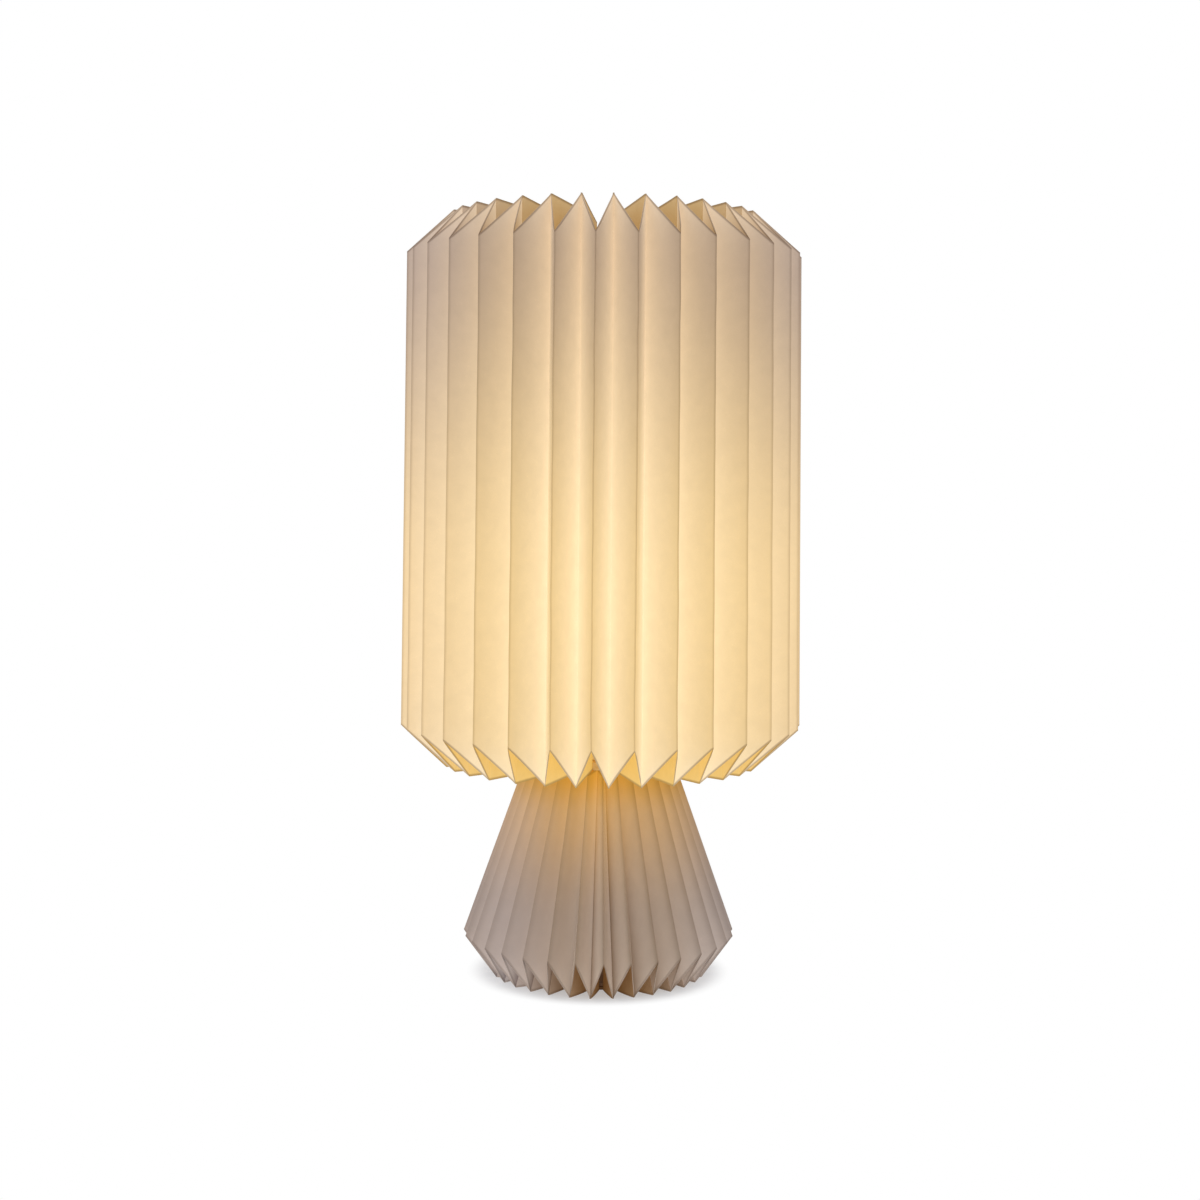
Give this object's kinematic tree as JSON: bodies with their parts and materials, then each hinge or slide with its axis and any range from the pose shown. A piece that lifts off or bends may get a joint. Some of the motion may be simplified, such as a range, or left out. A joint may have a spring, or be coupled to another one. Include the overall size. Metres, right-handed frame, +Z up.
{
  "type": "accordion paper lantern",
  "caption": "Table lantern with a pleated paper shade standing on a conical pleated paper base, round a battery lamp with an opal globe.",
  "frame": {"origin": "on the lantern's axis, at the surface it stands on", "axes": "+Z up along the lantern's axis, -Y towards the viewer of the picture, +X to the viewer's right"},
  "size_m": [0.2114, 0.2114, 0.4],
  "materials": {
    "shade_paper": "matt laid paper, lit from inside",
    "base_paper": "matt laid paper",
    "white_plastic": "satin",
    "brown_plastic": "satin",
    "dark_plastic": "satin",
    "foot_rubber": "matt",
    "steel": "zinc plated",
    "white_steel": "powder coat",
    "aluminium": "turned",
    "cell_jacket": "plain printed jacket",
    "white_board": "solder resist",
    "led": "phosphor",
    "opal": "opal, lit",
    "red_lead": "insulated wire",
    "black_lead": "insulated wire"
  },
  "bodies": {
    "base": {"base_strip_1": "base_paper", "base_strip_2": "base_paper", "base_strip_3": "base_paper", "base_strip_4": "base_paper", "foot_ring": "foot_rubber", "foot_plate": "brown_plastic", "foot_case": "brown_plastic", "seat_plate": "white_steel", "lamp_cup": "white_plastic", "ballast_ring": "steel", "battery_cell_1": "cell_jacket", "battery_cell_2": "cell_jacket", "battery_cell_3": "cell_jacket", "case_screw_1": "steel", "case_screw_2": "steel", "case_screw_3": "steel", "cell_tray": "dark_plastic", "contact_strip_left": "steel", "contact_strip_right": "steel", "door_pin": "steel", "heat_sink": "aluminium", "lead_black": "black_lead", "lead_red": "red_lead", "led_board": "white_board", "led_chip_1": "led", "led_chip_2": "led", "led_chip_3": "led", "led_chip_4": "led", "led_chip_5": "led", "led_chip_6": "led", "stem_nut_lower": "steel", "stem_nut_upper": "steel", "stem_tube": "steel", "switch_body": "dark_plastic"},
    "shade": {"shade_strip_1": "shade_paper", "shade_strip_2": "shade_paper", "shade_strip_3": "shade_paper", "shade_strip_4": "shade_paper"},
    "globe": {"globe": "opal"},
    "door": {"battery_door": "brown_plastic"},
    "switch": {"switch_slider": "white_plastic"}
  },
  "joints": [
    {"name": "shade_lift", "type": "slide", "parent": "base", "child": "shade", "axis": [0, 0, 1], "range_m": [0, 0.1]},
    {"name": "globe_twist", "type": "hinge", "parent": "base", "child": "globe", "pos_m": [0, 0, 0.147], "axis": [0, 0, 1], "range_deg": [0, 30]},
    {"name": "door_hinge", "type": "hinge", "parent": "base", "child": "door", "pos_m": [0, -0.02605, 0.0028], "axis": [-1, 0, 0], "range_deg": [0, 95]},
    {"name": "switch_slide", "type": "slide", "parent": "base", "child": "switch", "axis": [1, 0, 0], "range_m": [0, 0.004]}
  ]
}
